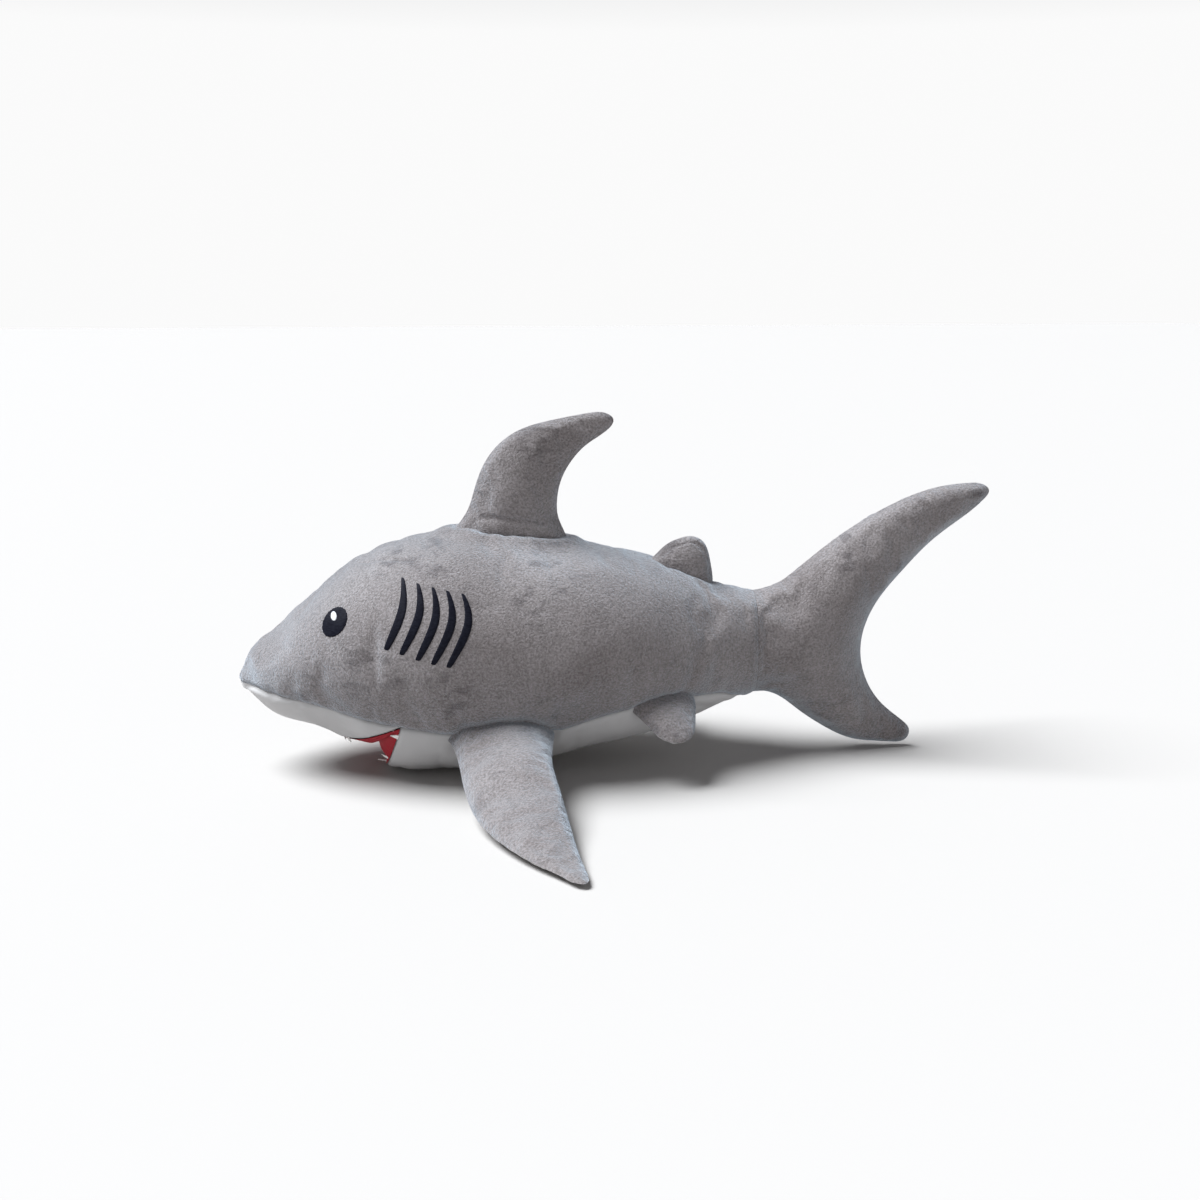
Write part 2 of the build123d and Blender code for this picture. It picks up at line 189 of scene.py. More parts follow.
def keep_modifiers(piece):
    """Makes the piece's modifiers its real mesh."""
    graph = bpy.context.evaluated_depsgraph_get()
    mesh = bpy.data.meshes.new_from_object(piece.evaluated_get(graph))
    piece.modifiers.clear()
    piece.data = mesh
    mesh.polygons.foreach_set("use_smooth", [True] * len(mesh.polygons))


def subdivide(piece):
    step = piece.modifiers.new("finer", "SUBSURF")
    step.levels = step.render_levels = 1
    step.boundary_smooth = "PRESERVE_CORNERS"
    keep_modifiers(piece)


def thicken(piece, depth):
    """Gives the cloth its thickness, inwards."""
    step = piece.modifiers.new("cloth", "SOLIDIFY")
    step.thickness = depth * MM
    step.offset = -1
    step.use_even_offset = False
    keep_modifiers(piece)


def border(piece):
    """The numbers of the vertices on the mesh's open edges."""
    seen = {}
    for polygon in piece.data.polygons:
        for key in polygon.edge_keys:
            seen[key] = seen.get(key, 0) + 1
    return sorted({v for key, count in seen.items() if count == 1 for v in key})


def tree_of(points):
    tree = KDTree(len(points))
    for n, p in enumerate(points):
        tree.insert(p, n)
    tree.balance()
    return tree


def surface_of(*pieces):
    """A tree for finding the nearest point on the pieces, in millimetres."""
    points, faces = [], []
    for piece in pieces:
        start = len(points)
        points += [tuple(p) for p in coords(piece)]
        faces += [[start + v for v in f.vertices] for f in piece.data.polygons]
    return BVHTree.FromPolygons(points, faces)


def ripple(point, size, seed=0.0):
    """Smooth noise from -1 to 1, with features about that many millimetres across."""
    return noise.noise(Vector(point) / size + Vector((seed, 2 * seed, -seed)))


# ================================================================== stuffing
def stuff(piece, held, pressure, cap):
    """Blows the cloth up like filling does, held at its seams, and keeps the shape."""
    start = coords(piece)
    group = piece.vertex_groups.new(name="held")
    group.add([int(v) for v in held], 1.0, "REPLACE")
    cloth = piece.modifiers.new("stuffing", "CLOTH")
    settings = cloth.settings
    settings.quality = 6
    settings.mass = 0.2
    settings.tension_stiffness = settings.compression_stiffness = 12
    settings.shear_stiffness = 6
    settings.bending_stiffness = 0.6
    settings.shrink_min = -0.025
    settings.use_pressure = True
    settings.uniform_pressure_force = pressure
    settings.vertex_group_mass = group.name
    settings.effector_weights.gravity = 0
    cloth.collision_settings.use_collision = False
    cloth.collision_settings.use_self_collision = False
    scene = bpy.context.scene
    cloth.point_cache.frame_start, cloth.point_cache.frame_end = 1, 20
    for step in range(1, 21):
        scene.frame_set(step)
    graph = bpy.context.evaluated_depsgraph_get()
    shown = piece.evaluated_get(graph).to_mesh()
    out = np.empty(len(shown.vertices) * 3)
    shown.vertices.foreach_get("co", out)
    piece.evaluated_get(graph).to_mesh_clear()
    piece.modifiers.clear()
    piece.vertex_groups.clear()
    scene.frame_set(1)
    move = out.reshape(-1, 3) / MM - start
    length = np.linalg.norm(move, axis=1, keepdims=True)
    move *= cap * np.tanh(length / cap) / np.maximum(length, 1e-9)
    set_coords(piece, start + move)


def sew(piece, seam, depth, reach, pucker=0.5, pucker_reach=11.0, seed=0.0, out=None):
    """Draws the cloth in along a seam, with the small puckers of the stitches."""
    tree = tree_of(seam)
    points = coords(piece)
    out = normals(piece) if out is None else out(points)
    for n, p in enumerate(points):
        near, _, away = tree.find(p)
        if away > 4 * pucker_reach:
            continue
        ease = ripple(near, 9.0, seed) + 0.6 * ripple(near, 21.0, seed + 3)
        fold = pucker * ease * math.exp(-away / pucker_reach) * min(1, away / 3)
        p -= out[n] * (depth * math.exp(-((away / reach) ** 2)) - fold)
    set_coords(piece, points)


def join(piece, fin, depth, reach, lift, spread, out, seed=0.0):
    """Draws the skin in where a fin is sewn on, and up towards it further away."""
    points = coords(piece)
    way = out(points)
    for n, p in enumerate(points):
        near, _, _, away = fin.find_nearest(p, 3 * spread)
        if near is None:
            continue
        fold = 0.8 * ripple(near, 12.0, seed) * math.exp(-away / 14)
        rise = lift * math.exp(-((away / spread) ** 2)) + fold
        p += way[n] * (rise - depth * math.exp(-((away / reach) ** 2)))
    set_coords(piece, points)


def lumps(piece, height, size, seed=0.0, out=None, ease=None):
    """The uneven filling under the cloth, fading towards the seams it shares."""
    points = coords(piece)
    way = normals(piece) if out is None else out(points)
    for n, p in enumerate(points):
        swell = ripple(p, size, seed) + 0.45 * ripple(p, size * 0.4, seed + 7)
        p += way[n] * (height * swell * (1 if ease is None else ease(p)))
    set_coords(piece, points)


# ================================================================== the body's skin
knots = [NOSE_X] + [x for x, *_ in BODY]
MIDDLE = Smooth(knots, [100] + [(top + low) / 2 for _, top, low, _ in BODY])
HIGH = Smooth(knots, [0] + [((top - low) / 2) ** 2 for _, top, low, _ in BODY])
WIDE = Smooth(knots, [0] + [half**2 for *_, half in BODY])
SEAM_Z = Smooth(*zip(*SEAM))


def skin_point(x, turn):
    """A point on the body; turn goes from the top round the left side."""
    high, wide = np.sqrt(np.maximum(HIGH(x), 0)), np.sqrt(np.maximum(WIDE(x), 0))
    z = MIDDLE(x) + high * np.cos(turn)
    z = 0.5 * (z + np.sqrt(z**2 + 4))
    return np.stack([x + 0 * z, -wide * np.sin(turn), z], axis=-1)


def body_out(points):
    """The way out of the body at each point, the same for every panel."""
    x, y, z = points.T
    x = np.clip(x, NOSE_X + 0.4, 148)

    def level(x):
        wide, high = np.maximum(WIDE(x), 1), np.maximum(HIGH(x), 1)
        return y**2 / wide + (z - MIDDLE(x)) ** 2 / high

    slope = (level(x + 0.3) - level(x - 0.3)) / 0.6
    way = np.stack([slope, 2 * y / np.maximum(WIDE(x), 1),
                    2 * (z - MIDDLE(x)) / np.maximum(HIGH(x), 1)], axis=1)
    return way / np.maximum(np.linalg.norm(way, axis=1, keepdims=True), 1e-9)


def seam_turn(x):
    """How far round from the top the grey cloth reaches."""
    high = np.sqrt(np.maximum(HIGH(x), 1e-6))
    return np.arccos(np.clip((SEAM_Z(x) - MIDDLE(x)) / high, -0.995, 0.5))


def stations(first, last):
    """Places along the body, close together round the nose."""
    nose = [NOSE_X + 60 * (1 - math.cos(a)) for a in np.linspace(0, math.pi / 2, 15)[:-1]]
    rest = np.linspace(NOSE_X + 60, last, int((last - NOSE_X - 60) / CELL) + 1)
    return np.array([x for x in [*nose, *rest] if first <= x <= last])


def grey_panel(name, side):
    """The velvet from the line of the back down to the white, on one side."""
    x = stations(NOSE_X, TAIL_SEAM_X)[:, None]
    share = np.linspace(0, 1, 46)[None, :]
    points = skin_point(x, seam_turn(x) * share)
    if side > 0:
        points = (points * [1, -1, 1])[:, ::-1]
    return grid_object(name, points)


def lip_x(across, lip):
    """Where a lip's line crosses the white cloth, for each place across it."""
    x = np.full_like(across, float(lip[0]))
    for _ in range(80):
        z = skin_point(x, math.pi + across * (math.pi - seam_turn(x)))[..., 2]
        down = np.clip((MOUTH_CORNER[1] - z) / (MOUTH_CORNER[1] - lip[1]), 0, 1.4)
        x = 0.5 * x + 0.5 * (MOUTH_CORNER[0] + (lip[0] - MOUTH_CORNER[0]) * down)
    return x


def lip_points(across, lip):
    x = lip_x(across, lip)
    return skin_point(x, math.pi + across * (math.pi - seam_turn(x)))


def white_panel(name, rows, columns, lip, end):
    """The white cloth between a lip and the body's end, across the underside."""
    across = np.linspace(-1, 1, columns)[None, :]
    edge = lip_x(across, lip)
    share = np.linspace(0, 1, rows)[:, None]
    if end < 0:     # close together round the nose
        share = np.sin(share * math.pi / 2)
    x = edge + (end - edge) * share
    points = skin_point(x, math.pi + across * (math.pi - seam_turn(x)))
    if end < 0:
        points = points[::-1]
    return grid_object(name, points)


# ================================================================== sewn fins
def run_length(line):
    return np.concatenate([[0], np.cumsum(np.linalg.norm(np.diff(line, axis=0), axis=1))])


def resample(points, spacing):
    """Evenly spaced points on a smooth line through the given ones."""
    points = np.array(points, float)
    along = run_length(points)
    fine = np.linspace(0, along[-1], 2000)
    line = np.stack([Smooth(along, points[:, k])(fine) for k in (0, 1)], axis=1)
    length = run_length(line)
    even = np.linspace(0, length[-1], int(round(length[-1] / spacing)) + 1)
    return np.stack([np.interp(even, length, line[:, k]) for k in (0, 1)], axis=1)


def to_line(points, line):
    """The distance from each point to a line of points."""
    a, b = line[:-1][None], line[1:][None]
    p = points[:, None]
    t = np.clip(((p - a) * (b - a)).sum(2) / ((b - a) ** 2).sum(2), 0, 1)
    return np.linalg.norm(p - (a + (b - a) * t[..., None]), axis=2).min(1)


def inside(points, loop):
    """Which points lie in a closed outline."""
    x, y = points[:, :1], points[:, 1:]
    ax, ay = loop[:, 0][None], loop[:, 1][None]
    bx, by = np.roll(ax, -1, 1), np.roll(ay, -1, 1)
    crosses = (ay > y) != (by > y)
    at = ax + (y - ay) * (bx - ax) / np.where(crosses, by - ay, 1)
    return (crosses & (x < at)).sum(1) % 2 == 1


def pattern(outline, spacing):
    """The flat cut of a fin: its points, triangles, sewn edge and open root."""
    edge = resample(outline, spacing)
    count = max(2, int(np.linalg.norm(edge[0] - edge[-1]) / spacing))
    root = edge[-1] + (edge[0] - edge[-1]) * (np.arange(1, count) / count)[:, None]
    loop = np.concatenate([edge, root])
    low, high = loop.min(0), loop.max(0)
    rows = np.arange(low[1], high[1], spacing * 0.866)
    dots = [
        (x + spacing / 2 * (n % 2), y)
        for n, y in enumerate(rows)
        for x in np.arange(low[0], high[0], spacing)
    ]
    dots = np.array(dots)
    dots = dots[inside(dots, loop)]
    dots = dots[to_line(dots, np.concatenate([loop, loop[:1]])) > 0.6 * spacing]
    points = np.concatenate([loop, dots])
    cut = delaunay_2d_cdt(
        [Vector(p) for p in points], [], [list(range(len(loop)))], 1, 1e-4)
    return np.array([list(v) for v in cut[0]]), [list(f) for f in cut[2]], edge, root


def puffed(points, faces, edge, ratio, root_half):
    """How far the filling pushes the cloth out: nothing on the sewn edge, most in the
    middle. The ratio is how full the fin is, along its root line."""
    count = len(points)
    to_edge = to_line(points, edge)
    ends = np.array([edge[-1], edge[0]])
    on_root = (to_line(points, ends) < 0.01) & (to_edge > 0.01)
    sewn = to_edge < 0.01
    neighbours = [set() for _ in range(count)]
    for a, b, c in faces:
        neighbours[a] |= {b, c}
        neighbours[b] |= {a, c}
        neighbours[c] |= {a, b}
    matrix, right = np.eye(count), np.zeros(count)
    length = np.linalg.norm(ends[1] - ends[0])
    share = np.linalg.norm(points - ends[0], axis=1) / length
    right[on_root] = (root_half**2 * 4 * share * (1 - share))[on_root]
    for n in np.flatnonzero(~sewn & ~on_root):
        near = list(neighbours[n])
        gap2 = ((points[near] - points[n]) ** 2).sum(1).mean()
        matrix[n, near] = -1 / len(near)
        right[n] = gap2 / 2 * np.interp(points[n, 0], *ratio) ** 2
    return np.sqrt(np.maximum(np.linalg.solve(matrix, right), 0)), sewn, on_root


def fin_halves(names, outline, origin, along, outward, ratio, root_half, cap=3.0, spacing=CELL,
               bow=None):
    """The two sewn and stuffed cloth panels of a fin. The first is on the side of
    along x outward. The bow is how far the fin's middle sheet drops below a flat one."""
    points, faces, edge, _ = pattern(outline, spacing)
    rise, sewn, on_root = puffed(points, faces, edge, ratio, root_half)
    along = np.array(along, float)
    side = np.cross(along, outward)
    side /= np.linalg.norm(side)
    up = np.cross(side, along)

    def place(flat):
        out = np.array(origin) + flat[:, :1] * along + flat[:, 1:] * up
        if bow:
            out[:, 2] -= bow(flat)
        return out

    halves = []
    for name, sign in zip(names, (1, -1)):
        placed = place(points) + sign * (rise * 0.94)[:, None] * side
        turned = faces if turns_with(points, faces[0]) == (sign > 0) else [f[::-1] for f in faces]
        piece = mesh_object(name, placed, turned)
        stuff(piece, np.flatnonzero(sewn | on_root), 4.0, cap)
        subdivide(piece)
        halves.append(piece)
    seam = place(edge)
    return halves, np.concatenate([seam, (seam[1:] + seam[:-1]) / 2])


def pectoral_bow(flat):
    """How far the drooping pectoral fin lies below its root's plane."""
    share = np.clip(flat[:, 0] / 104, 0, 1)
    share = share * share * (3 - 2 * share)
    front, back = (Smooth(*zip(*rows))(flat[:, 1]) for rows in (PECTORAL_FRONT, PECTORAL_BACK))
    plane = 53.5 - math.sin(math.radians(DROOP["pectoral"])) * flat[:, 1]
    return plane - (front * (1 - share) + back * share)


def stitches(piece, edge, depth, seed):
    """The small puckers beside a fin's sewn edge, where the cloth turns in."""
    points, out = coords(piece), normals(piece)
    for n, p in enumerate(points):
        near, _, away = edge.find(p)
        if away < 26:
            ease = ripple(near, 8.0, seed) + 0.5 * ripple(near, 17.0, seed + 3)
            p += out[n] * (depth * ease * math.exp(-away / 8) * min(1, away / 3))
    set_coords(piece, points)


def through(line):
    """Many points on a smooth line through the given ones."""
    share = np.linspace(0, 1, len(line))
    return np.stack([
        Smooth(share, [p[k] for p in line])(np.linspace(0, 1, 90)) for k in range(3)], axis=1)


def beside(line, piece, half):
    """A side-view line (x, z) set out to the piece's own side."""
    side = -1 if "left" in piece.name else 1
    return [(x, side * half, z) for x, z in line]


def crease(piece, line, depth, reach):
    """A fold pressed into the cloth along a line through the given points."""
    tree = surface_of(piece)
    sew(piece, [tree.find_nearest(p)[0] for p in through(line)], depth, reach, 0.3, 7.0, 3)


def rest_on_floor(piece):
    """Flattens what would sink into the floor."""
    points = coords(piece)
    low = points[:, 2] - 0.4
    points[:, 2] = 0.4 + 0.5 * (low + np.sqrt(low**2 + 2.5))
    set_coords(piece, points)


def turns_with(points, face):
    """Whether a flat triangle turns anticlockwise."""
    a, b, c = (points[v] for v in face)
    return (b[0] - a[0]) * (c[1] - a[1]) - (b[1] - a[1]) * (c[0] - a[0]) > 0


def fin_on_joint(names, outline, joint, outward, ratio, root_half, chord, **options):
    """A fin whose root line is the joint's axis, its front end half a chord ahead."""
    j = JOINTS[joint]
    along = np.array(j["axis"], float)
    along *= np.sign(along[0])
    origin = np.array(j["pos_m"]) / MM - along * chord / 2
    return fin_halves(names, outline, origin, along, outward, ratio, root_half, **options)


# ================================================================== materials
def material(name, colour, roughness, sheen=0.0, sheen_tint=(1, 1, 1)):
    """A cloth material, with its nodes and its shader."""
    m = bpy.data.materials.new(name)
    m.use_nodes = True
    shader = m.node_tree.nodes["Principled BSDF"]
    shader.inputs["Base Color"].default_value = (*colour, 1)
    shader.inputs["Roughness"].default_value = roughness
    shader.inputs["Specular IOR Level"].default_value = 0.25
    shader.inputs["Sheen Weight"].default_value = sheen
    shader.inputs["Sheen Roughness"].default_value = 0.45
    shader.inputs["Sheen Tint"].default_value = (*sheen_tint, 1)
    m.diffuse_color = (*colour, 1)
    return m, m.node_tree, shader


def node(tree, kind, **values):
    """A shader node with its settings and constant inputs."""
    made = tree.nodes.new(kind)
    for key, value in values.items():
        if key in made.inputs:
            made.inputs[key].default_value = value
        else:
            setattr(made, key, value)
    return made


def noise_node(tree, where, scale, detail=2.0, roughness=0.5, stretch=None):
    """Noise in the piece's own space, with features 1 / scale metres across."""
    source = where
    if stretch:
        shape = node(tree, "ShaderNodeMapping")
        shape.inputs["Scale"].default_value = stretch
        tree.links.new(where, shape.inputs["Vector"])
        source = shape.outputs["Vector"]
    made = node(tree, "ShaderNodeTexNoise", Scale=scale, Detail=detail, Roughness=roughness)
    tree.links.new(source, made.inputs["Vector"])
    return made.outputs["Fac"]


def ramp(tree, fac, stops):
    """A ramp from numbers to colours."""
    made = node(tree, "ShaderNodeValToRGB")
    while len(made.color_ramp.elements) < len(stops):
        made.color_ramp.elements.new(0.5)
    for element, (place, colour) in zip(made.color_ramp.elements, stops):
        element.position = place
        element.color = (*colour, 1)
    tree.links.new(fac, made.inputs["Fac"])
    return made.outputs["Color"]


def multiply(tree, a, b, amount=1.0):
    made = node(tree, "ShaderNodeMix", data_type="RGBA", blend_type="MULTIPLY")
    made.inputs[0].default_value = amount
    tree.links.new(a, made.inputs[6])
    tree.links.new(b, made.inputs[7])
    return made.outputs[2]


def bumps(tree, shader, layers):
    """Stacks bump layers of (height, strength, distance in metres)."""
    last = None
    for height, strength, distance in layers:
        made = node(tree, "ShaderNodeBump", Strength=strength, Distance=distance)
        tree.links.new(height, made.inputs["Height"])
        if last:
            tree.links.new(last, made.inputs["Normal"])
        last = made.outputs["Normal"]
    tree.links.new(last, shader.inputs["Normal"])


def velvet():
    """Short-pile grey velvet: salt-and-pepper pile, brushed marks, a pale sheen."""
    m, tree, shader = material("grey_velvet", (0.22, 0.20, 0.20), 0.95, 0.75, (0.70, 0.85, 1.0))
    where = tree.nodes.new("ShaderNodeTexCoord").outputs["Object"]
    grain = noise_node(tree, where, 460, 3, 0.65)
    pile = noise_node(tree, where, 800, 2, 0.6)
    broad = noise_node(tree, where, 8, 3, 0.55)
    brushed = noise_node(tree, where, 36, 5, 0.62, (0.75, 1, 1.5))
    place = noise_node(tree, where, 9, 2, 0.5)
    colour = ramp(tree, broad, [(0.3, (0.162, 0.141, 0.138)), (0.7, (0.234, 0.212, 0.211))])
    speck = ramp(tree, grain, [(0.35, (0.66, 0.65, 0.64)), (0.5, (1, 1, 1)), (0.66, (1.32, 1.34, 1.38))])
    colour = multiply(tree, colour, speck)
    spots = node(tree, "ShaderNodeMath", operation="MULTIPLY")
    tree.links.new(ramp(tree, brushed, [(0.52, (0, 0, 0)), (0.60, (1, 1, 1))]), spots.inputs[0])
    tree.links.new(ramp(tree, place, [(0.50, (0, 0, 0)), (0.58, (1, 1, 1))]), spots.inputs[1])
    marks = ramp(tree, spots.outputs[0], [(0.0, (1, 1, 1)), (1.0, (0.62, 0.60, 0.60))])
    colour = multiply(tree, colour, marks)
    tree.links.new(colour, shader.inputs["Base Color"])
    bumps(tree, shader, [(brushed, 0.15, 0.0015), (grain, 1.0, 0.0017), (pile, 0.7, 0.0008)])
    return m


def satin(name, colour, fine=1.0):
    """Smooth knitted cloth, its rows just visible."""
    m, tree, shader = material(name, colour, 0.6, 0.04)
    where = tree.nodes.new("ShaderNodeTexCoord").outputs["Object"]
    knit = noise_node(tree, where, 900, 2, 0.5, (1, 0.35, 1))
    broad = noise_node(tree, where, 14, 2, 0.5)
    crease = noise_node(tree, where, 30, 3, 0.5, (1, 0.4, 1))
    low = tuple(c * 0.88 for c in colour)
    tree.links.new(ramp(tree, broad, [(0.3, low), (0.7, colour)]), shader.inputs["Base Color"])
    bumps(tree, shader, [(crease, 0.3, 0.002 * fine), (knit, 0.35, 0.0004 * fine)])
    return m


def felt():
    m, tree, shader = material("white_felt", (0.80, 0.79, 0.77), 0.95, 0.3)
    where = tree.nodes.new("ShaderNodeTexCoord").outputs["Object"]
    fibre = noise_node(tree, where, 1300, 4, 0.7)
    tree.links.new(
        ramp(tree, fibre, [(0.3, (0.68, 0.67, 0.65)), (0.7, (0.86, 0.85, 0.84))]),
        shader.inputs["Base Color"])
    bumps(tree, shader, [(fibre, 0.6, 0.0005)])
    return m


def thread(name, colour, light):
    """Satin stitch: parallel threads, with a soft shine from the shader and lighter strands painted into the
    colour as shine.
    """
    m, tree, shader = material(name, colour, 0.55)
    shader.inputs["Anisotropic"].default_value = 0.5
    shader.inputs["Specular IOR Level"].default_value = 0.04
    where = tree.nodes.new("ShaderNodeTexCoord").outputs["Object"]
    strand = noise_node(tree, where, 1100, 2, 0.5, (0.25, 0.25, 1))
    # the lighter ramp stop is painted shine along the strands, not a second thread colour
    tree.links.new(ramp(tree, strand, [(0.3, colour), (0.75, light)]), shader.inputs["Base Color"])
    bumps(tree, shader, [(strand, 0.5, 0.0004)])
    return m


LOOKS = {
    "grey_velvet": velvet(),
    "white_satin": satin("white_satin", (0.44, 0.434, 0.438)),
    "red_lining": satin("red_lining", (0.27, 0.003, 0.012)),
    "white_felt": felt(),
    # each thread's second colour is painted shine along its strands
    "black_thread": thread("black_thread", (0.004, 0.004, 0.008), (0.012, 0.013, 0.020)),
    "white_thread": thread("white_thread", (0.50, 0.52, 0.56), (0.72, 0.73, 0.76)),
}


def finish_piece(piece, slot, *stands_for):
    """Gives a piece its material and hides the CAD nodes it stands for."""
    piece.data.materials.clear()
    piece.data.materials.append(LOOKS[slot])
    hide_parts(*stands_for)


# ================================================================== build the fins
def even(ratio):
    return [0, 1], [ratio, ratio]


def side_outward(kind, side):
    droop = math.radians(DROOP[kind])
    return (0, side * math.cos(droop), -math.sin(droop))


fins = {}
fins["dorsal_fin"] = fin_on_joint(
    ("dorsal_fin_skin_left", "dorsal_fin_skin_right"),
    DORSAL, "dorsal_fin_lean", (0, 0, 1), even(0.38), 19, 108.6)
fins["rear_dorsal_fin"] = fin_on_joint(
    ("rear_dorsal_fin_skin_left", "rear_dorsal_fin_skin_right"),
    REAR_DORSAL, "rear_dorsal_fin_lean", (0, 0, 1), even(0.5), 15, 66.9, spacing=3.0, cap=2.0)
for side, sign in (("left", -1), ("right", 1)):
    # along x outward points up on the right side and down on the left
    halves = ("underside", "top") if sign < 0 else ("top", "underside")
    fins[f"pectoral_fin_{side}"] = fin_on_joint(
        [f"pectoral_fin_{side}_{half}_skin" for half in halves],
        PECTORAL, f"pectoral_fin_{side}_lift", side_outward("pectoral", sign), even(0.38), 21, 103.2,
        bow=pectoral_bow)
    fins[f"pelvic_fin_{side}"] = fin_on_joint(
        [f"pelvic_fin_{side}_{half}_skin" for half in halves],
        PELVIC, f"pelvic_fin_{side}_lift", side_outward("pelvic", sign), even(0.46), 13, 69.3,
        spacing=3.0, cap=2.0)
fins["tail_fin"] = fin_halves(
    ("tail_fin_skin_left", "tail_fin_skin_right"),
    TAIL, (0, 0, 0), (1, 0, 0), (0, 0, 1), TAIL_FULLNESS, 42.5)

for number, (name, (halves, seam)) in enumerate(fins.items()):
    small = name.startswith(("rear", "pelvic"))
    edge = tree_of(seam)
    for half in halves:
        lumps(half, 0.6 if small else 1.2, 26 if small else 45, number,
              ease=lambda p: min(1, edge.find(p)[2] / 14))
        stitches(half, edge, 0.9, number)
        rest_on_floor(half)
for half in fins["dorsal_fin"][0]:
    crease(half, beside(DORSAL_FOLD, half, 20), 2.0, 2.8)
for half in fins["rear_dorsal_fin"][0]:
    crease(half, beside(REAR_DORSAL_RIDGE, half, 9), 1.1, 1.5)

# ================================================================== build the body
panels = {
    "body_skin_left": grey_panel("body_skin_left", -1),
    "body_skin_right": grey_panel("body_skin_right", 1),
    "belly_skin": white_panel("belly_skin", 80, 38, LOWER_LIP, TAIL_SEAM_X),
    "snout_skin": white_panel("snout_skin", 38, 38, UPPER_LIP, NOSE_X + 0.4),
}
for name, panel in panels.items():
    stuff(panel, border(panel), 4.0, 2.0)
    subdivide(panel)

seam_x = np.linspace(NOSE_X + 1, TAIL_SEAM_X, 500)
back_line = skin_point(seam_x, 0.0)
colour_line = np.concatenate([
    skin_point(seam_x, seam_turn(seam_x)), skin_point(seam_x, -seam_turn(seam_x))])
tail_ring = skin_point(np.full(160, TAIL_SEAM_X), np.linspace(0, 2 * math.pi, 160))
across = np.linspace(-1, 1, 200)
lips = np.concatenate([lip_points(across, UPPER_LIP), lip_points(across, LOWER_LIP)])
head_dart = through(HEAD_DART)
head_dart = np.concatenate([head_dart, head_dart * [1, -1, 1]])
JOINS = {   # how deep and wide the sewn line is, and how far and wide the skin rises to it
    "dorsal_fin": (4.5, 4.0, 8.5, 15), "rear_dorsal_fin": (2.5, 3.5, 1.5, 9),
    "pectoral_fin_left": (3.5, 6.0, 1.0, 16), "pectoral_fin_right": (3.5, 6.0, 1.0, 16),
    "pelvic_fin_left": (2.5, 4.0, 1.0, 9), "pelvic_fin_right": (2.5, 4.0, 1.0, 9),
}
for panel in panels.values():
    lumps(panel, 1.7, 75, 20, out=body_out)
    sew(panel, colour_line, 2.2, 3.2, 0.7, 11.0, 31, out=body_out)
    sew(panel, back_line, 0.7, 2.2, 0.4, 8.0, 32, out=body_out)
    sew(panel, head_dart, 1.6, 2.2, 0.5, 8.0, 36, out=body_out)
    sew(panel, tail_ring, 0.5, 2.6, 0.3, 9.0, 33, out=body_out)
    for name, sizes in JOINS.items():
        join(panel, surface_of(*fins[name][0]), *sizes, body_out, 34)
for side in ("left", "right"):
    panel = panels[f"body_skin_{side}"]
    crease(panel, beside(BACK_FOLD, panel, 22), 1.8, 2.6)


# ================================================================== mouth
def lining(name, lip, other_lip, into_gap, sag):
    """A red sheet from a lip to the fold at the back of the mouth, which is deep in
    the middle and shallow at the cheeks."""
    across = np.linspace(-0.995, 0.995, 90)
    edge, facing = lip_points(across, lip), lip_points(across, other_lip)
    between = (edge + facing) / 2
    corner = np.stack([
        np.full(90, MOUTH_CORNER[0]), between[:, 1] * 0.99, np.full(90, MOUTH_CORNER[1])], axis=1)
    cheek = np.clip((np.abs(across) - 0.3) / 0.32, 0, 1)
    deep = 0.95 - 0.72 * cheek * cheek * (3 - 2 * cheek)
    fold = between + (corner - between) * deep[:, None]
    share = np.linspace(0, 1, 26)[:, None, None]
    points = edge[None] * (1 - share) + fold[None] * share
    depth = np.linalg.norm(edge - fold, axis=1)[None, :, None]
    bow = np.sin(np.pi * np.clip(share, 0, 1)) * np.minimum(depth / 40, 1) * sag
    points = points + np.array(into_gap) * bow
    for row, along in zip(points, share.ravel()):
        for p in row:
            p += np.array(into_gap) * 1.6 * ripple(p, 15.0, 5) * math.sin(math.pi * along)
    return grid_object(name, points)


def unit(x, z):
    return (x / math.hypot(x, z), 0, z / math.hypot(x, z))


upper_run = unit(UPPER_LIP[0] - MOUTH_CORNER[0], UPPER_LIP[1] - MOUTH_CORNER[1])
lower_run = unit(LOWER_LIP[0] - MOUTH_CORNER[0], LOWER_LIP[1] - MOUTH_CORNER[1])
down_into_gap = (-upper_run[2], 0, upper_run[0])
up_into_gap = (lower_run[2], 0, -lower_run[0])

roof = lining("mouth_roof_cloth", UPPER_LIP, LOWER_LIP, down_into_gap, 4.0)
floor_cloth = lining("mouth_floor_cloth", LOWER_LIP, UPPER_LIP, up_into_gap, 5.0)
for sheet in (roof, floor_cloth):
    subdivide(sheet)
    lumps(sheet, 1.7, 75, 20, out=body_out)

for name in ("belly_skin", "snout_skin"):
    sew(panels[name], lips, 1.2, 2.5, 0.4, 8.0, 35, out=body_out)
    thicken(panels[name], 1.6)
for piece in (*panels.values(), roof, floor_cloth):
    rest_on_floor(piece)


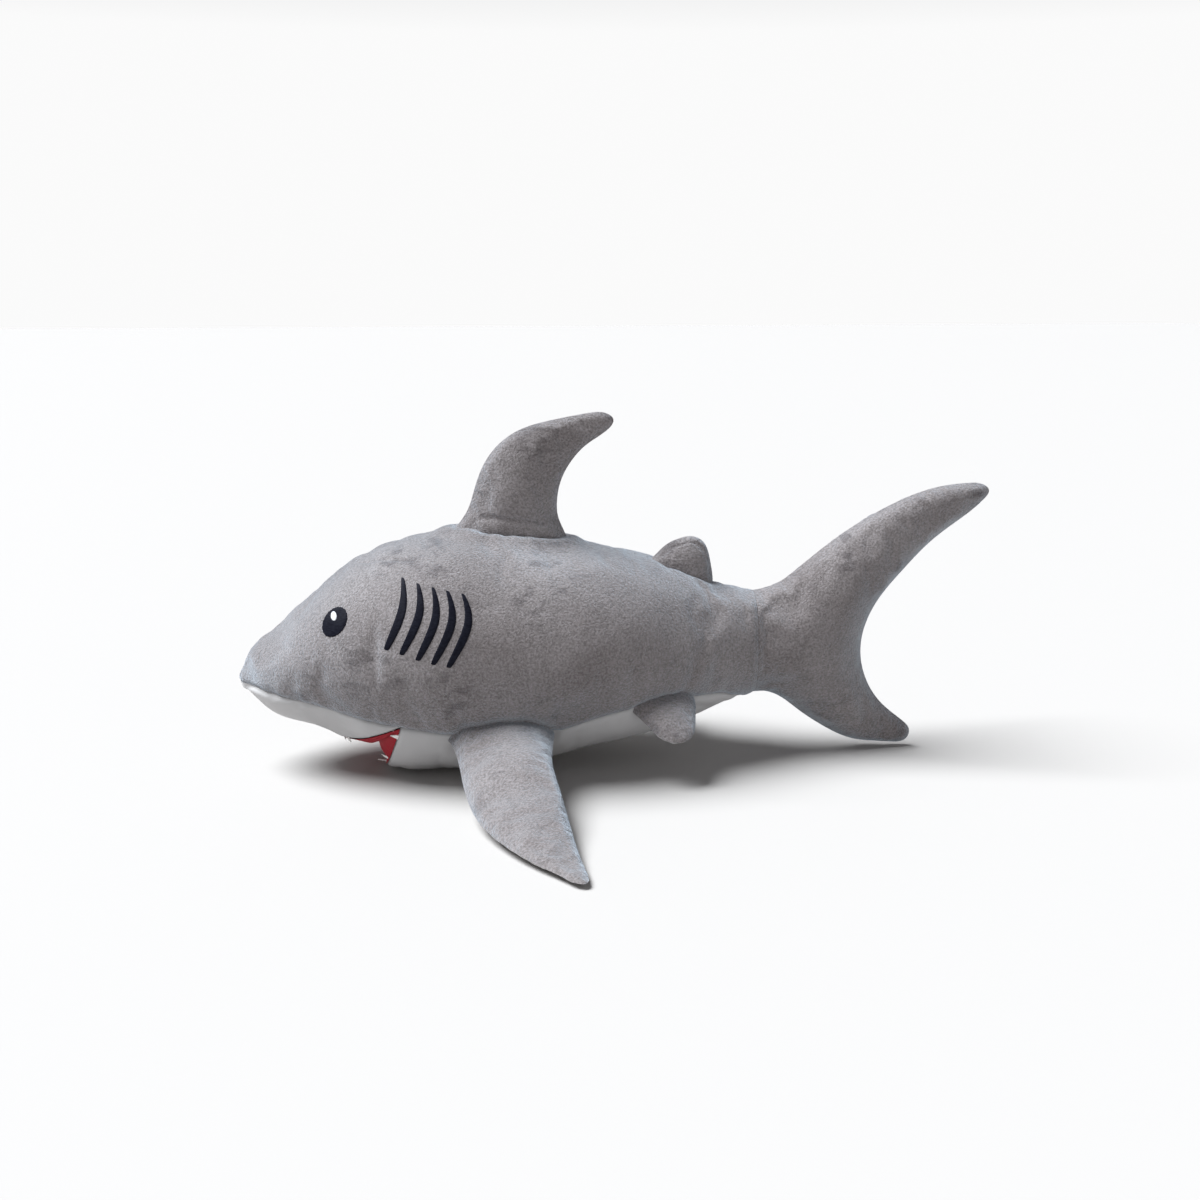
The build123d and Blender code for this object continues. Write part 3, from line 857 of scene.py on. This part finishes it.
def felt_tooth(at, along, out_of_lip, width, length, seed):
    """A felt triangle with soft edges: its points and faces."""
    outline = [(-width / 2, 0), (-width * 0.3, length * 0.38), (-width * 0.1, length * 0.86),
               (0, length), (width * 0.1, length * 0.86), (width * 0.3, length * 0.38),
               (width / 2, 0)]
    points, faces, edge, _ = pattern(outline, 1.3)
    loop = np.concatenate([edge, edge[:1]])
    rise = 0.85 * (1 - np.exp(-to_line(points, loop) / 0.5))
    face_way = np.cross(along, out_of_lip)
    curl = 0.012 * points[:, 1] ** 2 * (1 if seed % 2 else -1)
    flat = at + points[:, :1] * along + points[:, 1:] * out_of_lip + curl[:, None] * face_way
    front, back = flat + rise[:, None] * face_way, flat - rise[:, None] * face_way
    anticlockwise = turns_with(points, faces[0])
    near = faces if anticlockwise else [f[::-1] for f in faces]
    far = [[v + len(points) for v in f[::-1]] for f in near]
    return np.concatenate([front, back]), near + far


def teeth(name, lip, into_gap, count, reach, width, length):
    """A row of teeth standing across the opening along a lip."""
    all_points, all_faces, start = [], [], 0
    for n, place in enumerate(np.linspace(-reach, reach, count)):
        here, ahead = lip_points(np.array([place - 0.01, place + 0.01]), lip)
        along = (ahead - here) / np.linalg.norm(ahead - here)
        corner = np.array([MOUTH_CORNER[0], here[1], MOUTH_CORNER[1]])
        inward = (corner - here) / np.linalg.norm(corner - here)
        at = (here + ahead) / 2 + inward * 1.2 - np.array(into_gap) * 1.5
        size = 0.55 + 0.45 * math.sqrt(1 - place**2)
        points, faces = felt_tooth(at, along, np.array(into_gap), width * size, length * size, n)
        all_points.append(points)
        all_faces += [[v + start for v in f] for f in faces]
        start += len(points)
    piece = mesh_object(name, np.concatenate(all_points), all_faces)
    merge(piece, 0.02)
    return piece


upper_teeth = teeth("upper_teeth_felt", UPPER_LIP, down_into_gap, 5, 0.44, 13, 9)
lower_teeth = teeth("lower_teeth_felt", LOWER_LIP, up_into_gap, 6, 0.9, 12, 12)


# ================================================================== embroidery
def on_skin(tree, x, z, side, lift):
    """The place on the body seen straight from the side, raised by the lift."""
    hit, way, _, _ = tree.ray_cast((x, side * 300, z), (0, -side, 0))
    return np.array(hit) + np.array(way) * lift


def oval_patch(name, tree, side, centre, size, tilt, lift, pitch, rings):
    """A raised oval of parallel threads."""
    c, s = math.cos(math.radians(tilt)), math.sin(math.radians(tilt))
    points, faces, around = [], [], 96
    for r in range(rings + 1):
        share = r / rings
        for a in range(around):
            angle = 2 * math.pi * a / around
            jag = 1 + (0.02 * math.sin(angle * 31) + 0.015 * math.sin(angle * 17)) * share**4
            u = size[0] * share * jag * math.cos(angle)
            v = size[1] * share * jag * math.sin(angle)
            strand = 0.5 + 0.5 * math.cos(2 * math.pi * v / pitch)
            height = lift * math.sqrt(max(0, 1 - share**6)) + 0.22 * strand * (share < 1)
            height -= 0.5 * (r == rings)
            x, z = centre[0] + u * c - v * s, centre[1] + u * s + v * c
            points.append(on_skin(tree, x, z, side, height))
    for r in range(rings):
        for a in range(around):
            b = (a + 1) % around
            face = [r * around + a, r * around + b, (r + 1) * around + b, (r + 1) * around + a]
            faces.append(face if side > 0 else face[::-1])
    piece = mesh_object(name, points, faces)
    merge(piece, 0.02)
    return piece


GILLS = [
    ((-221, 222), (-219, 190), (-238, 152)), ((-206, 218), (-202, 187), (-223, 148)),
    ((-191, 215), (-186, 183), (-207, 143)), ((-177, 212), (-170, 180), (-192, 139)),
    ((-162, 209), (-154, 178), (-177, 136)),
]
GILL_WIDTH = 9.4


def gill_patch(name, tree, side):
    """Five crescents of satin stitch, pointed above and blunt below."""
    points, faces = [], []
    rows, columns = 170, 11
    for number, (top, middle, bottom) in enumerate(GILLS):
        start = len(points)
        line = Smooth([0, 0.5, 1], [top[0], middle[0], bottom[0]])
        drop = Smooth([0, 0.5, 1], [top[1], middle[1], bottom[1]])
        for r in range(rows):
            t = r / (rows - 1)
            width = GILL_WIDTH * (0.42 + 0.58 * math.sin(math.pi * min(1, t / 0.62) / 2) ** 1.3)
            width *= 1 - 0.45 * max(0, (t - 0.62) / 0.38) ** 2
            jag = 0.35 * ripple((r * 0.9, number, 0), 1.1)
            strand = 0.5 + 0.5 * math.cos(2 * math.pi * r * 74 / rows / 1.0)
            for c in range(columns):
                s = c / (columns - 1)
                x = float(line(t)) - width * s + jag * (2 * s - 1)
                z = float(drop(t)) + 1.2 * (s - 0.5)
                round_off = math.sqrt(max(0, 1 - (2 * s - 1) ** 4)) * min(1, 8 * t, 14 * (1 - t))
                height = -0.5 + 1.4 * round_off + 0.2 * strand * round_off
                points.append(on_skin(tree, x, z, side, height))
        for face in grid_faces(rows, columns):
            face = [start + v for v in face]
            faces.append(face if side < 0 else face[::-1])
    return mesh_object(name, points, faces)


for side, sign in (("left", -1), ("right", 1)):
    tree = surface_of(panels[f"body_skin_{side}"])
    eye = oval_patch(f"eye_stitching_{side}", tree, sign, (-291.5, 176), (10.4, 16.4), -42, 0.9, 1.0, 34)
    finish_piece(eye, "black_thread", f"eye_{side}")
    shine = oval_patch(f"eye_highlight_stitching_{side}", tree, sign, (-292, 181), (3.3, 4.3), 0, 1.7, 0.9, 12)
    finish_piece(shine, "white_thread", f"eye_highlight_{side}")
    gills = gill_patch(f"gill_stitching_{side}", tree, sign)
    finish_piece(gills, "black_thread", f"gill_slits_{side}")
    for piece in (eye, shine, gills):
        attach(piece, "torso")

# ================================================================== materials and bodies for the pieces
CAD_OF = {
    "body_skin_left": ("grey_velvet", "body_panel_left", "body_filling"),
    "body_skin_right": ("grey_velvet", "body_panel_right"),
    "belly_skin": ("white_satin", "belly_panel"),
    "snout_skin": ("white_satin", "snout_underside"),
}
for name, (slot, *nodes) in CAD_OF.items():
    finish_piece(panels[name], slot, *nodes)
    if name == "snout_skin":
        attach(panels[name], "torso")
    else:
        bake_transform(panels[name])

for name, (halves, _) in fins.items():
    for number, half in enumerate(halves):
        side_or_face = half.name.replace("_skin", "").removeprefix(name + "_")
        vertical = name in ("dorsal_fin", "rear_dorsal_fin", "tail_fin")
        cad = f"{name}_panel_{side_or_face}" if vertical else f"{name}_{side_or_face}"
        slot = "white_satin" if side_or_face == "underside" else "grey_velvet"
        finish_piece(half, slot, cad, *([f"{name}_filling"] if number == 0 else []))
        if name == "tail_fin":
            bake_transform(half)
            continue
        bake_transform(half)

for sheet, cad in ((roof, "mouth_roof_lining"), (floor_cloth, "mouth_floor_lining")):
    finish_piece(sheet, "red_lining", cad)
    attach(sheet, "torso")
for piece, cad in ((upper_teeth, "upper_teeth"), (lower_teeth, "lower_teeth")):
    finish_piece(piece, "white_felt", cad)
    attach(piece, "torso")


# ================================================================== floor, light, camera
def floor():
    ground = mesh_object("floor", [(-9000, -9000, 0), (9000, -9000, 0), (9000, 9000, 0), (-9000, 9000, 0)],
                         [(0, 1, 2, 3)])
    m, _, _ = material("floor", (0.415, 0.40, 0.39), 0.9)
    ground.data.materials.append(m)


def sun(name, towards, strength, angle, colour):
    lamp = bpy.data.lights.new(name, "SUN")
    lamp.energy, lamp.angle, lamp.color = strength, math.radians(angle), colour
    holder = bpy.data.objects.new(name, lamp)
    holder.rotation_euler = Vector(towards).to_track_quat("Z", "Y").to_euler()
    bpy.context.scene.collection.objects.link(holder)


def studio_walls():
    """A pale room: bright near the horizon, softer above."""
    world = bpy.data.worlds.new("studio")
    world.use_nodes = True
    tree = world.node_tree
    where = tree.nodes.new("ShaderNodeTexCoord").outputs["Generated"]
    split = tree.nodes.new("ShaderNodeSeparateXYZ")
    tree.links.new(where, split.inputs[0])
    shade = ramp(tree, split.outputs["Z"], [(0.14, (0.96, 0.96, 0.96)), (0.36, (0.24, 0.245, 0.26))])
    tree.links.new(shade, tree.nodes["Background"].inputs["Color"])
    bpy.context.scene.world = world


floor()
sun("window", (-0.50, 0.06, 0.86), 8.0, 36, (0.93, 0.97, 1.0))
studio_walls()
bpy.context.scene.view_settings.view_transform = "Standard"

CAMERA_TURN, CAMERA_RISE, CAMERA_DISTANCE = math.radians(-5), math.radians(14), 1.5
aim = Vector((-0.018, 0, 0.175))
back = Vector((math.sin(CAMERA_TURN) * math.cos(CAMERA_RISE),
               -math.cos(CAMERA_TURN) * math.cos(CAMERA_RISE), math.sin(CAMERA_RISE)))
camera = bpy.data.cameras.new("camera")
camera.sensor_fit = "HORIZONTAL"
camera.angle = 2 * math.atan(0.642 / CAMERA_DISTANCE)
viewer = bpy.data.objects.new("camera", camera)
viewer.location = aim + back * CAMERA_DISTANCE
viewer.rotation_euler = (-back).to_track_quat("-Z", "Y").to_euler()
bpy.context.scene.collection.objects.link(viewer)
bpy.context.scene.camera = viewer
